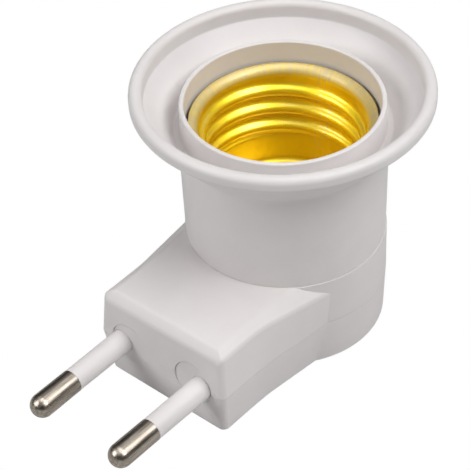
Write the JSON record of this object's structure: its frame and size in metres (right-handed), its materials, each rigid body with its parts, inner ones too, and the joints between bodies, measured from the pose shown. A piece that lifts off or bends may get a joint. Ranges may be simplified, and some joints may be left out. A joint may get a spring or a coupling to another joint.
{
  "type": "plug in lamp holder",
  "caption": "White moulded adapter: a flat two-pin mains plug with a screw lamp socket on its round end, gold-coloured screw shell and flared skirt with a rolled rim",
  "frame": {"origin": "on the lamp socket's axis, in the flat underside of the plug body", "axes": "+Z along the socket out of its mouth, -Y along the pins towards their tips, +X to the right seen from behind the pins' tips looking at the pin face"},
  "size_m": [0.0478, 0.0752, 0.0449],
  "materials": {
    "white_plastic": "smooth, slightly glossy moulded plastic",
    "sleeve_plastic": "smooth moulded plastic",
    "gold_shell": "bright drawn brass",
    "pin_metal": "bright nickel plating",
    "contact_brass": "plain rolled brass",
    "base_plastic": "dense white moulding",
    "screw_steel": "zinc-plated steel"
  },
  "bodies": {
    "root": {"upper_shell": "white_plastic", "lower_cover": "white_plastic", "holder_tower": "white_plastic", "pin_carrier": "base_plastic", "contact_base": "base_plastic", "screw_shell": "gold_shell", "pin_left": "pin_metal", "pin_right": "pin_metal", "pin_sleeve_left": "sleeve_plastic", "pin_sleeve_right": "sleeve_plastic", "centre_contact": "contact_brass", "backing_spring": "screw_steel", "centre_rivet": "contact_brass", "shell_rivets": "contact_brass", "rivet_washer": "screw_steel", "live_strip": "contact_brass", "neutral_strip": "contact_brass", "tail_screws": "screw_steel", "tail_washers": "screw_steel", "tower_screws": "screw_steel", "cover_screws": "screw_steel"}
  },
  "joints": []
}
